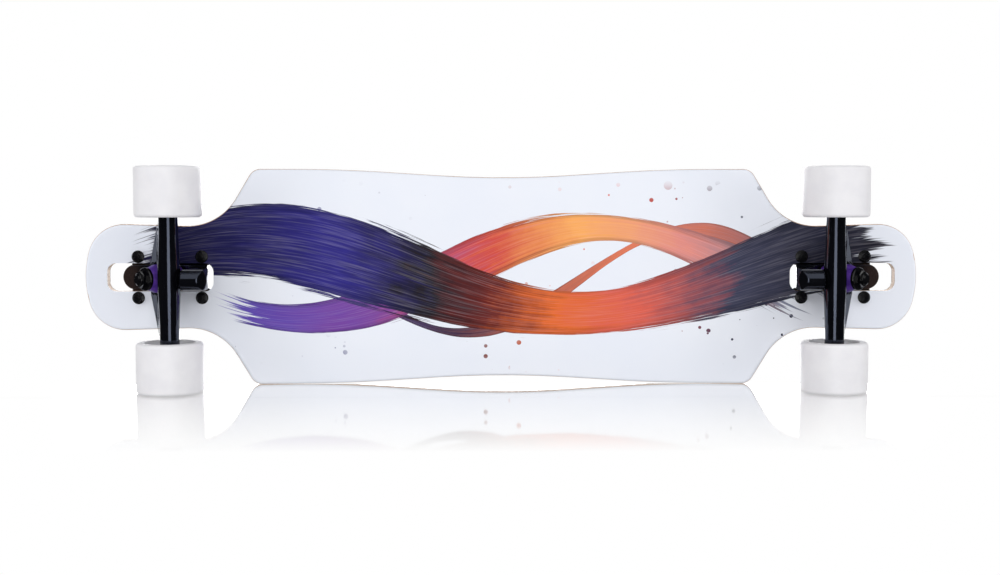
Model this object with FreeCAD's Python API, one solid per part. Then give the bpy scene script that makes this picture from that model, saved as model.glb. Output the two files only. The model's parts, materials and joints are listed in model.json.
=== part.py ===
import FreeCAD, Part
import math
import os

# Drop-through longboard in millimetres: +Z up with the wheels standing on Z = 0, +X towards the
# nose, +Y to the rider's left, origin on the ground below the middle of the deck.

Vector = FreeCAD.Vector

# Shared values
overrun = 20.0
running_clearance = 0.05
loose_clearance = 0.3
thread_clearance = 0.02
glue_gap = 0.05

# Deck
deck_length = 836.0
deck_half_width = 108.4
deck_thickness = 12.0
deck_edge_radius = 3.0
waist_inset = 10.4
waist_blend_share = 0.38
bulge_blend_share = 0.54
shoulder_radius = 13.0
well_radius = 56.0
neck_half_width = 50.5
nose_half_width = 54.0
nose_corner_radius = 37.0
tip_radius = 98.0
tip_arc_share = 0.9
flat_half_width = 40.0
rail_rise = 6.0
rail_run_out = 20.0
rail_margin = 6.0
rail_rows = 9
rail_columns = 41
wall_normal_share = 0.5

# Grip tape
grip_thickness = 0.8
grip_inset = 3.6
grip_flange_gap = 1.0

# Slots through the deck, measured from the middle of the bolt pattern
slot_inner_reach = 43.4
slot_outer_reach = 63.0
slot_washer_gap = 0.1
slot_corner_radius = 9.0

# Places along the board: the axle from the deck's tip, the rest inwards from the axle
axle_tip_inset = 93.7
well_corner_inset = 40.4
shoulder_inset = 74.8
flank_end_inset = 159.3
rail_full_inset = 134.3
rail_end_inset = 40.3

# Bolt pattern, its middle outwards from the axle
bolt_centre_outset = 8.7
bolt_pitch_long = 63.5
bolt_pitch_cross = 41.3

# Wheels
wheel_diameter = 65.0
wheel_width = 49.5
wheel_corner_radius = 3.5
wheel_rim_width = 8.0
wheel_lip_depth = 3.0
core_diameter = 36.0
core_bore_diameter = 18.0
core_overhang = 1.0
core_tread_groove = 1.5
core_rim_width = 18.0

# Bearings: the common 8 x 22 x 7 size
bearing_bore = 8.0
bearing_diameter = 22.0
bearing_width = 7.0
inner_race_diameter = 12.8
outer_race_bore = 18.6
race_groove_depth = 0.5
ball_count = 7
cage_race_gap = 0.75
cage_shield_gap = 0.2
cage_front_share = 0.3
shield_thickness = 0.3
shield_recess = 0.3

# Axle line
hanger_width = 145.0
speed_ring_thickness = 1.0
speed_ring_diameter = 12.4
spacer_length = 10.0
spacer_diameter = 10.2
axle_nut_flats = 13.0
axle_nut_height = 8.0
axle_end_proud = 4.0
axle_end_chamfer = 0.8

# Steering geometry, in the truck's own frame with its axle above the origin
steer_angle_deg = 41.7
axle_drop = 45.0
ring_outset = 13.0
ring_drop = 19.5
pivot_reach = 50.5
pivot_engagement = 9.0

# Hanger
bar_diameter = 19.0
bar_middle_diameter = 22.0
bar_middle_half_length = 12.0
bar_taper_half_length = 44.0
bar_end_step = 1.5
bar_end_length = 5.0
bar_end_chamfer = 1.0
ring_diameter = 37.0
ring_thickness = 10.0
ring_bore = 16.0
ring_edge_radius = 2.0
wing_tip_reach = 13.5
wing_tip_half_width = 16.0
wing_tip_thickness = 7.0
wing_end_reach = 0.5
wing_end_inset = 18.5
wing_bar_inset = 14.5
wing_root_reach = 18.0
nose_root_diameter = 21.0
nose_root_reach = 12.0
nose_neck_diameter = 14.0
nose_neck_length = 5.5
nose_diameter = 9.4
nose_start_gap = 1.0

# Kingpin stack
kingpin_diameter = 9.5
kingpin_head_diameter = 14.0
kingpin_head_height = 6.0
kingpin_socket_flats = 6.0
kingpin_socket_depth = 3.5
kingpin_end_proud = 0.8
kingpin_end_chamfer = 0.7
kingpin_nut_flats = 14.3
kingpin_nut_height = 7.5
bushing_height = 14.0
cone_large_diameter = 28.0
cone_small_diameter = 19.6
cone_rim_height = 3.0
barrel_diameter = 25.0
barrel_bulge = 1.2
washer_thickness = 2.0
boardside_washer_diameter = 25.0
cup_washer_diameter = 23.0
cup_rim_thickness = 1.0
cup_rim_height = 1.6
seat_wall = 10.0

# Baseplate
flange_thickness = 6.0
flange_side_margin = 7.85
flange_inner_margin = 8.25
flange_outer_margin = 9.25
flange_corner_radius = 8.0
flange_edge_radius = 1.5
spine_gap = 1.5
tongue_overhang = 7.5
tongue_drop = 6.5
notch_depth = 6.5
seat_inner_reach = 15.5
head_pocket_gap = 0.5
neck_slot_gap = 5.9
neck_lean = 2.0
horn_front_rise = 16.0
horn_front_inset = 13.0
horn_back_wall = 13.4
horn_back_lean = 2.0
horn_elbow_drop = 35.5
horn_crest_wall = 7.9
horn_back_chamfer = 8.0
horn_back_radius = 19.0
horn_width = 21.0
pivot_cup_wall = 1.5
pivot_cup_floor = 1.4
pivot_cup_lip_diameter = 17.0
pivot_cup_lip_thickness = 0.6

# Mounting hardware
bolt_diameter = 4.8
bolt_head_diameter = 9.4
bolt_end_proud = 1.0
bolt_socket_flats = 3.2
bolt_socket_depth = 1.8
mounting_nut_flats = 9.5
mounting_nut_height = 6.0
mounting_washer_diameter = 12.7
mounting_washer_thickness = 1.0

# Hexagon nuts: the hexagon's share of the height, with a rounded collar above
nut_hexagon_share = 0.68
nut_collar_share = 0.86
nut_chamfer_share = 0.1

# Derived heights
axle_height = wheel_diameter / 2
deck_bottom_height = axle_height + axle_drop
deck_top_height = deck_bottom_height + deck_thickness
flange_top_height = deck_top_height + flange_thickness
ring_height = deck_bottom_height - ring_drop
tongue_height = deck_top_height - tongue_drop
bolt_length = (flange_thickness + deck_thickness + mounting_washer_thickness + mounting_nut_height
               + bolt_end_proud)

# Derived places along the board
axle_x = deck_length / 2 - axle_tip_inset
well_corner_x = axle_x - well_corner_inset
shoulder_x = axle_x - shoulder_inset
flank_end_x = axle_x - flank_end_inset
rail_full_x = axle_x - rail_full_inset
rail_end_x = axle_x - rail_end_inset

# Derived sizes of the slot, the baseplate and the pivot
slot_width = bolt_pitch_cross - mounting_washer_diameter - 2 * slot_washer_gap
spine_width = slot_width - 2 * spine_gap
flange_width = bolt_pitch_cross + 2 * flange_side_margin
flange_inner_reach = bolt_pitch_long / 2 + flange_inner_margin
flange_outer_reach = bolt_pitch_long / 2 + flange_outer_margin
tongue_reach = flange_outer_reach + tongue_overhang
neck_exit_inset = slot_inner_reach - bolt_centre_outset - neck_slot_gap
neck_back_inset = neck_exit_inset - neck_lean
horn_front_reach = pivot_reach - pivot_engagement
nose_start_reach = horn_front_reach - nose_start_gap
nose_neck_reach = nose_start_reach - nose_neck_length
head_pocket_diameter = kingpin_head_diameter + 2 * head_pocket_gap
bar_end_diameter = bar_diameter - 2 * bar_end_step

# Derived places along the axle and sizes of the wheel and bearings
hanger_half = hanger_width / 2
wheel_offset = hanger_half + speed_ring_thickness + bearing_width + spacer_length / 2
bearing_offset = spacer_length / 2 + bearing_width / 2
wheel_lip_diameter = wheel_diameter - 2 * wheel_rim_width
race_space = (outer_race_bore - inner_race_diameter) / 2
ball_radius = race_space / 2 + race_groove_depth
ball_circle_radius = (inner_race_diameter + outer_race_bore) / 4
cage_width = race_space - 2 * cage_race_gap
cage_back = bearing_width / 2 - shield_recess - shield_thickness - cage_shield_gap
pivot_cup_diameter = nose_diameter + 2 * (loose_clearance + pivot_cup_wall)
axle_nut_base = wheel_offset + spacer_length / 2 + bearing_width + speed_ring_thickness
axle_half = axle_nut_base + axle_nut_height + axle_end_proud

# Steering directions: along the steering axis (outwards and up) and along the kingpin (outwards and down)
steer_angle = math.radians(steer_angle_deg)
steer_direction = Vector(math.cos(steer_angle), 0, math.sin(steer_angle))
kingpin_direction = Vector(math.sin(steer_angle), 0, -math.cos(steer_angle))
ring_centre = Vector(ring_outset, 0, ring_height)
origin = Vector(0, 0, 0)
x_direction = Vector(1, 0, 0)
y_direction = Vector(0, 1, 0)
z_direction = Vector(0, 0, 1)


# Small helpers

def steer_point(along_steer, along_kingpin):
    """A point in the truck's middle plane, measured from the ring's centre."""
    return ring_centre + steer_direction * along_steer + kingpin_direction * along_kingpin


def polygon_face(points):
    """A flat face with straight edges."""
    return Part.Face(Part.makePolygon(points + [points[0]]))


def plate_across(points, width):
    """A solid from points in the XZ plane, its width centred on that plane."""
    face = polygon_face(points)
    face.translate(y_direction * (-width / 2))
    return face.extrude(y_direction * width)


def turned(profile, base, direction):
    """A solid of revolution: profile holds (place along the axis, radius) pairs."""
    side = y_direction if abs(direction.y) == 0 else x_direction
    points = []
    for along, radius in profile:
        points.append(base + direction * along + side * radius)
    return polygon_face(points).revolve(base, direction, 360)


def tube(base, direction, length, outer_diameter, bore):
    """A plain ring or sleeve that starts at base."""
    outside = Part.makeCylinder(outer_diameter / 2, length, base, direction)
    inside = Part.makeCylinder(bore / 2, length + 2 * overrun, base - direction * overrun, direction)
    return outside.cut(inside)


def hexagon(base, direction, height, flats):
    """A hexagonal prism that starts at base."""
    radius = flats / math.sqrt(3)
    side = y_direction if abs(direction.y) == 0 else x_direction
    corners = []
    for step in range(6):
        turn = FreeCAD.Rotation(direction, 60 * step)
        corners.append(base + turn.multVec(side * radius))
    return polygon_face(corners).extrude(direction * height)


def lock_nut(base, direction, height, flats, bore):
    """A hexagon nut with chamfered corners and a rounded locking collar, seated at base."""
    hex_height = height * nut_hexagon_share
    corner = flats / math.sqrt(3)
    chamfer = corner * nut_chamfer_share
    collar = flats / 2 * nut_collar_share
    body = hexagon(base, direction, hex_height, flats)
    dome = turned(
        [(0, 0), (0, corner - chamfer), (chamfer, corner), (hex_height - chamfer, corner),
         (hex_height, corner - chamfer), (hex_height, 0)], base, direction)
    ring = turned(
        [(hex_height, 0), (hex_height, collar), (height - chamfer, collar), (height, collar - chamfer),
         (height, 0)], base, direction)
    hole = Part.makeCylinder(bore / 2, height + 2 * overrun, base - direction * overrun, direction)
    return body.common(dome).fuse(ring).cut(hole).removeSplitter()


def rounded_wire(corners):
    """A closed wire in the XY plane: corners holds (x, y, corner radius), joined by tangent arcs."""
    edges = []
    count = len(corners)
    starts = []
    ends = []
    middles = []
    for index in range(count):
        corner = Vector(corners[index][0], corners[index][1], 0)
        before = Vector(corners[index - 1][0], corners[index - 1][1], 0)
        after = Vector(corners[(index + 1) % count][0], corners[(index + 1) % count][1], 0)
        radius = corners[index][2]
        back = (before - corner).normalize()
        ahead = (after - corner).normalize()
        half_opening = back.getAngle(ahead) / 2
        setback = radius / math.tan(half_opening)
        bisector = (back + ahead).normalize()
        starts.append(corner + back * setback)
        ends.append(corner + ahead * setback)
        middles.append(corner + bisector * (radius / math.sin(half_opening) - radius))
    for index in range(count):
        edges.append(Part.Arc(starts[index], middles[index], ends[index]).toShape())
        edges.append(Part.LineSegment(ends[index], starts[(index + 1) % count]).toShape())
    return Part.Wire(edges)


def raised(wire, bottom, height):
    """A vertical prism on a wire of the XY plane."""
    face = Part.Face(wire)
    face.translate(z_direction * bottom)
    return face.extrude(z_direction * height)


def rectangle_wire(low_x, high_x, width, radius):
    """A rounded rectangle that is centred on the X axis."""
    half = width / 2
    return rounded_wire([(low_x, -half, radius), (high_x, -half, radius), (high_x, half, radius),
                         (low_x, half, radius)])


def place(shape, end):
    """Moves a truck piece from the truck's own frame to the front (1) or rear (-1) of the board."""
    moved = shape.copy()
    if end < 0:
        moved.rotate(origin, z_direction, 180)
    moved.translate(x_direction * (axle_x * end))
    return moved


# Deck

def deck_outline():
    """The deck's outline: waist, bulges, wheel wells, necks and rounded ends."""
    tip_sine = tip_arc_share * (nose_half_width - nose_corner_radius) / (tip_radius - nose_corner_radius)
    tip_half_turn = math.asin(tip_sine)
    tip_corner_x = deck_length / 2 + tip_radius * (1 / math.cos(tip_half_turn) - 1)
    nose_corner_x = tip_corner_x - nose_half_width * math.tan(tip_half_turn)
    flank_turn = math.atan(waist_inset / flank_end_x)
    waist_radius = waist_blend_share * math.hypot(flank_end_x, waist_inset) / math.tan(flank_turn)
    bulge_radius = bulge_blend_share * (shoulder_x - flank_end_x) / math.tan(flank_turn / 2)
    waist_half_width = deck_half_width - waist_inset
    quarter = [(flank_end_x, deck_half_width, bulge_radius),
               (shoulder_x, deck_half_width, shoulder_radius),
               (well_corner_x, neck_half_width, well_radius),
               (nose_corner_x, nose_half_width, nose_corner_radius)]
    corners = [(0, waist_half_width, waist_radius)]
    corners += quarter
    corners += [(tip_corner_x, 0, tip_radius)]
    corners += [(x, -y, radius) for x, y, radius in reversed(quarter)]
    corners += [(0, -waist_half_width, waist_radius)]
    corners += [(-x, -y, radius) for x, y, radius in quarter]
    corners += [(-tip_corner_x, 0, tip_radius)]
    corners += [(-x, y, radius) for x, y, radius in reversed(quarter)]
    return rounded_wire(corners)


def rail_height(x, out_share):
    """How far a rail rises above the flat middle, at a place along the board and a share of its width."""
    fade = (rail_end_x - abs(x)) / (rail_end_x - rail_full_x)
    fade = min(max(fade, 0), 1)
    along = fade * fade * (3 - 2 * fade)
    return rail_rise * along * out_share * out_share


def rail_reach():
    """How far from the board's middle the rail sheets run, with a flat run-out past the rise."""
    return rail_end_x + rail_run_out


def rail_face(side, bottom):
    """The curved underside of one raised rail."""
    rail_width = deck_half_width - flat_half_width
    reach = rail_width + rail_margin
    grid = []
    for column in range(rail_columns):
        x = rail_reach() * (2 * column / (rail_columns - 1) - 1)
        line = []
        for row in range(rail_rows):
            out = reach * row / (rail_rows - 1)
            line.append(Vector(x, side * (flat_half_width + out), bottom + rail_height(x, out / rail_width)))
        grid.append(line)
    surface = Part.BSplineSurface()
    surface.interpolate(grid)
    return surface.toShape()


def concave_slab(bottom, thickness):
    """A sheet of even thickness: flat in the middle and at both ends, with raised rails between."""
    reach = deck_half_width + rail_margin
    end_reach = deck_length / 2 + rail_margin
    rail_x = rail_reach()
    slab = Part.makeBox(2 * rail_x, 2 * flat_half_width, thickness, Vector(-rail_x, -flat_half_width, bottom))
    for low_x in (-end_reach, rail_x):
        end_piece = Part.makeBox(end_reach - rail_x, 2 * reach, thickness, Vector(low_x, -reach, bottom))
        slab = slab.fuse(end_piece)
    for side in (-1, 1):
        slab = slab.fuse(rail_face(side, bottom).extrude(z_direction * thickness))
    return slab.removeSplitter()


def slot_wire(end):
    """The outline of one truck slot."""
    centre = axle_x + bolt_centre_outset
    low = centre - slot_inner_reach
    high = centre + slot_outer_reach
    if end < 0:
        low, high = -high, -low
    return rectangle_wire(low, high, slot_width, slot_corner_radius)


def bolt_places():
    """The four bolts of a truck, in the truck's own frame."""
    places = []
    for along in (-1, 1):
        for across in (-1, 1):
            x = bolt_centre_outset + along * bolt_pitch_long / 2
            places.append(Vector(x, across * bolt_pitch_cross / 2, 0))
    return places


def is_wall(face, point):
    """Whether a face stands upright at a point."""
    normal = face.normalAt(*face.Surface.parameter(point))
    return abs(normal.z) < wall_normal_share


def rim_edges(blank):
    """The edges where the sheet's upper and lower faces meet its cut sides."""
    rims = []
    for edge in blank.Edges:
        first, last = edge.ParameterRange
        middle = edge.valueAt((first + last) / 2)
        walls = [is_wall(face, middle) for face in blank.ancestorsOfType(edge, Part.Face)]
        if any(walls) and not all(walls):
            rims.append(edge)
    return rims


def make_deck():
    """The pressed ply deck with its two slots and eight bolt holes."""
    depth = deck_thickness + rail_rise + 2 * overrun
    blank = concave_slab(deck_bottom_height, deck_thickness)
    blank = blank.common(raised(deck_outline(), deck_bottom_height - overrun, depth))
    deck = blank.makeFillet(deck_edge_radius, rim_edges(blank))
    for end in (1, -1):
        deck = deck.cut(raised(slot_wire(end), deck_bottom_height - overrun, depth))
        for spot in bolt_places():
            hole = Part.makeCylinder(bolt_diameter / 2 + loose_clearance, depth,
                                     spot + z_direction * (deck_bottom_height - overrun))
            deck = deck.cut(place(hole, end))
    return deck


def make_grip_tape():
    """The grit sheet glued to the deck's top, cut out round the baseplates."""
    depth = grip_thickness + rail_rise + 2 * overrun
    sheet = concave_slab(deck_top_height + glue_gap, grip_thickness)
    edge = deck_outline().makeOffset2D(-grip_inset)
    sheet = sheet.common(raised(edge, deck_top_height - overrun, depth))
    for end in (1, -1):
        window = raised(flange_wire(grip_flange_gap), deck_top_height - overrun, depth)
        tongue = Part.makeCylinder(spine_width / 2 + grip_flange_gap, depth,
                                   Vector(tongue_centre(), 0, deck_top_height - overrun))
        sheet = sheet.cut(place(window, end)).cut(place(tongue, end))
        sheet = sheet.cut(raised(slot_wire(end), deck_top_height - overrun, depth))
    return sheet


# Baseplate

def tongue_centre():
    """Where the rounded outer end of the baseplate's tongue has its centre."""
    return bolt_centre_outset + tongue_reach - spine_width / 2


def flange_wire(gap):
    """The baseplate's flange outline, grown by a gap."""
    return rectangle_wire(bolt_centre_outset - flange_inner_reach - gap,
                          bolt_centre_outset + flange_outer_reach + gap,
                          flange_width + 2 * gap, flange_corner_radius + gap)


def seat_place():
    """Where the boardside washer's seat lies along the kingpin, from the ring's centre."""
    return -(ring_thickness / 2 + bushing_height + washer_thickness)


def horn_crest_height():
    """The height of the horn's lowest line, a wall below the pivot."""
    return steer_point(-pivot_reach, 0).z - horn_crest_wall


def horn_profile():
    """The side view of the spine, the neck and the pivot horn."""
    seat = seat_place()
    front_middle = steer_point(-horn_front_reach, 0)
    front_lower = -(front_middle.x + horn_front_inset) / math.sin(steer_angle)
    seat_outer_reach = (tongue_height - steer_point(0, seat).z) / math.sin(steer_angle)
    horn_back = steer_point(-pivot_reach, 0).x - horn_back_wall
    horn_crest = horn_crest_height()
    return [
        Vector(-neck_back_inset, 0, deck_top_height),
        Vector(tongue_centre(), 0, deck_top_height),
        Vector(tongue_centre(), 0, tongue_height),
        steer_point(seat_outer_reach, seat),
        steer_point(-seat_inner_reach, seat),
        steer_point(-horn_front_reach, -horn_front_rise),
        steer_point(-horn_front_reach, front_lower),
        Vector(-horn_front_inset, 0, horn_crest),
        Vector(horn_back + horn_back_chamfer, 0, horn_crest),
        Vector(horn_back, 0, horn_crest + horn_back_chamfer),
        Vector(horn_back + horn_back_lean, 0, deck_bottom_height - horn_elbow_drop),
        Vector(-neck_exit_inset, 0, deck_bottom_height),
    ]


def make_baseplate():
    """The cast baseplate: flange on the deck's top, spine through the slot, kingpin seat and pivot horn."""
    flange = raised(flange_wire(0), deck_top_height, flange_thickness)
    tongue = Part.makeCylinder(spine_width / 2, flange_thickness + tongue_drop,
                               Vector(tongue_centre(), 0, tongue_height))
    bridge = Part.makeBox(tongue_centre(), spine_width, flange_thickness,
                          Vector(0, -spine_width / 2, deck_top_height))
    plate = flange.fuse([tongue, bridge]).removeSplitter()
    top_edges = [edge for edge in plate.Edges
                 if abs(edge.BoundBox.ZMin - flange_top_height) < running_clearance]
    plate = plate.makeFillet(flange_edge_radius, top_edges)
    profile = horn_profile()
    spine = plate_across(profile[:5] + profile[-1:], spine_width)
    ridge_height = horn_crest_height() + horn_width / 2
    ridge = Part.makeCylinder(horn_width / 2, axle_x, Vector(-axle_x / 2, 0, ridge_height), x_direction)
    ridge = ridge.fuse(Part.makeBox(axle_x, horn_width, deck_top_height,
                                    Vector(-axle_x / 2, -horn_width / 2, ridge_height)))
    round_centre = steer_point(-pivot_reach, 0).x - horn_back_wall + horn_back_radius
    rounding = Part.makeCylinder(horn_back_radius, deck_top_height, Vector(round_centre, 0, 0))
    rounding = rounding.fuse(Part.makeBox(axle_x, spine_width, deck_top_height,
                                          Vector(round_centre, -spine_width / 2, 0)))
    horn = plate_across(profile, horn_width).common(ridge).common(rounding)
    body = plate.fuse([spine, horn])
    notch_end = bolt_centre_outset - flange_inner_reach + notch_depth
    notch = rectangle_wire(notch_end - slot_width - overrun, notch_end, slot_width, slot_corner_radius)
    body = body.cut(raised(notch, deck_top_height, flange_thickness + overrun))
    seat = seat_place()
    hole = Part.makeCylinder(kingpin_diameter / 2 + running_clearance, 2 * seat_wall + overrun,
                             steer_point(0, seat - seat_wall - overrun), kingpin_direction)
    head_room = deck_thickness + flange_thickness + overrun
    pocket = Part.makeCylinder(head_pocket_diameter / 2, head_room,
                               steer_point(0, seat - seat_wall), -kingpin_direction)
    socket = Part.makeCylinder(pivot_cup_diameter / 2 + running_clearance, overrun + cup_depth(),
                               steer_point(overrun - horn_front_reach, 0), -steer_direction)
    spot_radius = max(boardside_washer_diameter / 2, barrel_diameter / 2 + barrel_bulge) + loose_clearance
    spot_face = Part.makeCylinder(spot_radius, bushing_height + washer_thickness, steer_point(0, seat),
                                  kingpin_direction)
    body = body.cut(hole).cut(pocket).cut(socket).cut(spot_face)
    for spot in bolt_places():
        shank = Part.makeCylinder(bolt_diameter / 2 + loose_clearance, flange_thickness + 2 * overrun,
                                  spot + z_direction * (deck_top_height - overrun))
        body = body.cut(shank).cut(bolt_head(spot, running_clearance))
    return body.removeSplitter()


def cup_depth():
    """How deep the pivot cup sits in the horn, from the horn's front face."""
    return pivot_reach - horn_front_reach + loose_clearance + pivot_cup_floor


def make_pivot_cup():
    """The plastic cup that the hanger's nose turns in, with a lip on the horn's front face."""
    inner = nose_diameter / 2 + loose_clearance
    outer = pivot_cup_diameter / 2
    depth = cup_depth()
    floor = depth - pivot_cup_floor
    lip = pivot_cup_lip_diameter / 2
    profile = [(-pivot_cup_lip_thickness, inner), (-pivot_cup_lip_thickness, lip), (0, lip), (0, outer),
               (depth, outer), (depth, 0), (floor, 0), (floor, inner)]
    return turned(profile, steer_point(-horn_front_reach, 0), -steer_direction)


# Mounting hardware

def bolt_head(spot, gap):
    """The countersunk cone of a mounting bolt, grown by a gap."""
    head = bolt_head_diameter / 2 + gap
    shank = bolt_diameter / 2
    profile = [(0, 0), (0, head), (head - shank, shank), (head - shank, 0)]
    return turned(profile, spot + z_direction * flange_top_height, -z_direction)


def make_mounting_bolts():
    """Four countersunk bolts, flush with the baseplate's top."""
    bolts = []
    for spot in bolt_places():
        top = spot + z_direction * flange_top_height
        shank = Part.makeCylinder(bolt_diameter / 2, bolt_length, top, -z_direction)
        socket = hexagon(top, -z_direction, bolt_socket_depth, bolt_socket_flats)
        bolts.append(shank.fuse(bolt_head(spot, 0)).cut(socket).removeSplitter())
    return Part.makeCompound(bolts)


def make_mounting_washers():
    """Four flat washers under the deck."""
    washers = []
    for spot in bolt_places():
        washers.append(tube(spot + z_direction * deck_bottom_height, -z_direction, mounting_washer_thickness,
                            mounting_washer_diameter, bolt_diameter + 2 * loose_clearance))
    return Part.makeCompound(washers)


def make_mounting_nuts():
    """Four lock nuts below the washers."""
    nuts = []
    for spot in bolt_places():
        base = spot + z_direction * (deck_bottom_height - mounting_washer_thickness)
        nuts.append(lock_nut(base, -z_direction, mounting_nut_height, mounting_nut_flats,
                             bolt_diameter + 2 * thread_clearance))
    return Part.makeCompound(nuts)


# Kingpin stack

def make_kingpin():
    """The kingpin bolt: socket head in the baseplate's pocket, shank through the whole stack."""
    seat = seat_place()
    head_base = seat - seat_wall
    head_top = head_base - kingpin_head_height
    end = -seat + kingpin_nut_height + kingpin_end_proud
    shank = kingpin_diameter / 2
    head = kingpin_head_diameter / 2
    chamfer = kingpin_end_chamfer
    profile = [(head_top, 0), (head_top, head - chamfer), (head_top + chamfer, head), (head_base, head),
               (head_base, shank), (end - chamfer, shank), (end, shank - chamfer), (end, 0)]
    pin = turned(profile, ring_centre, kingpin_direction)
    socket = hexagon(steer_point(0, head_top), kingpin_direction, kingpin_socket_depth, kingpin_socket_flats)
    return pin.cut(socket)


def make_kingpin_nut():
    """The lock nut that closes the stack."""
    return lock_nut(steer_point(0, -seat_place()), kingpin_direction, kingpin_nut_height, kingpin_nut_flats,
                    kingpin_diameter + 2 * thread_clearance)


def bushing_bore():
    """The radius of a bushing's or washer's hole."""
    return kingpin_diameter / 2 + running_clearance


def make_roadside_bushing():
    """The cone bushing between the hanger's ring and the cup washer."""
    start = ring_thickness / 2
    end = start + bushing_height
    large = cone_large_diameter / 2
    small = cone_small_diameter / 2
    bore = bushing_bore()
    profile = [(start, bore), (start, large), (start + cone_rim_height, large), (end, small), (end, bore)]
    return turned(profile, ring_centre, kingpin_direction)


def make_boardside_bushing():
    """The barrel bushing between the hanger's ring and the baseplate's seat."""
    start = ring_thickness / 2
    end = start + bushing_height
    radius = barrel_diameter / 2
    bore = bushing_bore()
    bulge = radius + barrel_bulge
    profile = [(start, bore), (start, radius), ((start + end) / 2, bulge), (end, radius), (end, bore)]
    return turned(profile, ring_centre, -kingpin_direction)


def make_boardside_washer():
    """The flat washer on the baseplate's seat."""
    return tube(steer_point(0, seat_place()), kingpin_direction, washer_thickness, boardside_washer_diameter,
                2 * bushing_bore())


def make_roadside_washer():
    """The cup washer under the kingpin nut, its rim round the bushing's small end."""
    end = -seat_place()
    start = end - washer_thickness
    outer = cup_washer_diameter / 2
    rim = outer - cup_rim_thickness
    bore = bushing_bore()
    profile = [(start, bore), (start, rim), (start - cup_rim_height, rim), (start - cup_rim_height, outer),
               (end - cup_rim_thickness, outer), (end, rim), (end, bore)]
    return turned(profile, ring_centre, kingpin_direction)


# Hanger and axle line

def make_hanger():
    """The hanger: axle bar, ring round the kingpin, two wings and the pivot nose."""
    axle_base = Vector(0, 0, axle_height)
    bar = bar_diameter / 2
    middle = bar_middle_diameter / 2
    stub = bar_end_diameter / 2
    stub_start = hanger_half - bar_end_length
    half_profile = [(bar_middle_half_length, middle), (bar_taper_half_length, bar),
                    (stub_start - bar_end_chamfer, bar), (stub_start, bar - bar_end_chamfer),
                    (stub_start, stub), (hanger_half - bar_end_chamfer, stub),
                    (hanger_half, stub - bar_end_chamfer)]
    profile = [(-hanger_half, 0)]
    profile += [(-along, radius) for along, radius in reversed(half_profile)]
    profile += half_profile
    profile += [(hanger_half, 0)]
    axle_bar = turned(profile, axle_base, y_direction)
    half_ring = ring_thickness / 2
    ring_radius = ring_diameter / 2
    ring_profile = [(-half_ring, 0), (-half_ring, ring_radius - ring_edge_radius),
                    (ring_edge_radius - half_ring, ring_radius), (half_ring - ring_edge_radius, ring_radius),
                    (half_ring, ring_radius - ring_edge_radius), (half_ring, 0)]
    ring = turned(ring_profile, ring_centre, kingpin_direction)
    bar_along = (axle_base - ring_centre).dot(steer_direction)
    bar_down = (axle_base - ring_centre).dot(kingpin_direction)
    half_tip = wing_tip_thickness / 2
    side_view = [steer_point(wing_tip_reach, -half_tip), steer_point(wing_tip_reach, half_tip),
                 steer_point(0, half_ring), steer_point(bar_along + bar, bar_down + bar / 2),
                 steer_point(bar_along, bar_down + bar), steer_point(bar_along - bar / 2, bar_down),
                 steer_point(bar_along, bar_down - bar), steer_point(-wing_root_reach, -half_ring),
                 steer_point(0, -half_ring)]
    wing_block = plate_across(side_view, hanger_width)
    wing_end = hanger_half - wing_end_inset
    wing_bar = hanger_half - wing_bar_inset
    plan = []
    for along, half in ((wing_tip_reach, wing_tip_half_width), (-wing_end_reach, wing_end),
                        (bar_along, wing_bar), (bar_along - bar, wing_bar)):
        plan.append(steer_point(along, -ring_radius) + y_direction * half)
    plan += [Vector(point.x, -point.y, point.z) for point in reversed(plan)]
    wing_depth = ring_diameter + bar_diameter
    wings = polygon_face(plan).extrude(kingpin_direction * wing_depth).common(wing_block)
    nose = nose_diameter / 2
    tip = pivot_reach - nose
    nose_points = [(nose_root_reach, 0), (nose_root_reach, nose_root_diameter / 2),
                   (nose_neck_reach, nose_neck_diameter / 2), (nose_start_reach, nose), (tip, nose), (tip, 0)]
    pivot_nose = turned(nose_points, ring_centre, -steer_direction)
    ball = Part.makeSphere(nose, steer_point(-tip, 0))
    body = axle_bar.fuse([ring, wings, pivot_nose, ball])
    hole = Part.makeCylinder(ring_bore / 2, ring_diameter, steer_point(0, -ring_radius), kingpin_direction)
    seats = Part.makeCylinder(cone_large_diameter / 2 + loose_clearance, ring_diameter,
                              steer_point(0, half_ring), kingpin_direction)
    upper = Part.makeCylinder(barrel_diameter / 2 + barrel_bulge + loose_clearance, ring_diameter,
                              steer_point(0, -half_ring), -kingpin_direction)
    bore = Part.makeCylinder(bearing_bore / 2 + thread_clearance, hanger_width + 2 * overrun,
                             axle_base - y_direction * (hanger_half + overrun), y_direction)
    return body.cut(hole).cut(seats).cut(upper).cut(bore).removeSplitter()


def make_axle():
    """The axle rod, pressed through the hanger."""
    radius = bearing_bore / 2
    chamfer = axle_end_chamfer
    profile = [(-axle_half, 0), (-axle_half, radius - chamfer), (chamfer - axle_half, radius),
               (axle_half - chamfer, radius), (axle_half, radius - chamfer), (axle_half, 0)]
    return turned(profile, Vector(0, 0, axle_height), y_direction)


def axle_sides():
    """The two ends of an axle, as outward directions."""
    return (y_direction, -y_direction)


def on_axle(direction, offset):
    """A point on the axle line."""
    return Vector(0, 0, axle_height) + direction * offset


def make_axle_nuts():
    """The two lock nuts on the axle's ends."""
    nuts = []
    for direction in axle_sides():
        nuts.append(lock_nut(on_axle(direction, axle_nut_base), direction, axle_nut_height, axle_nut_flats,
                             bearing_bore + 2 * thread_clearance))
    return Part.makeCompound(nuts)


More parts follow.
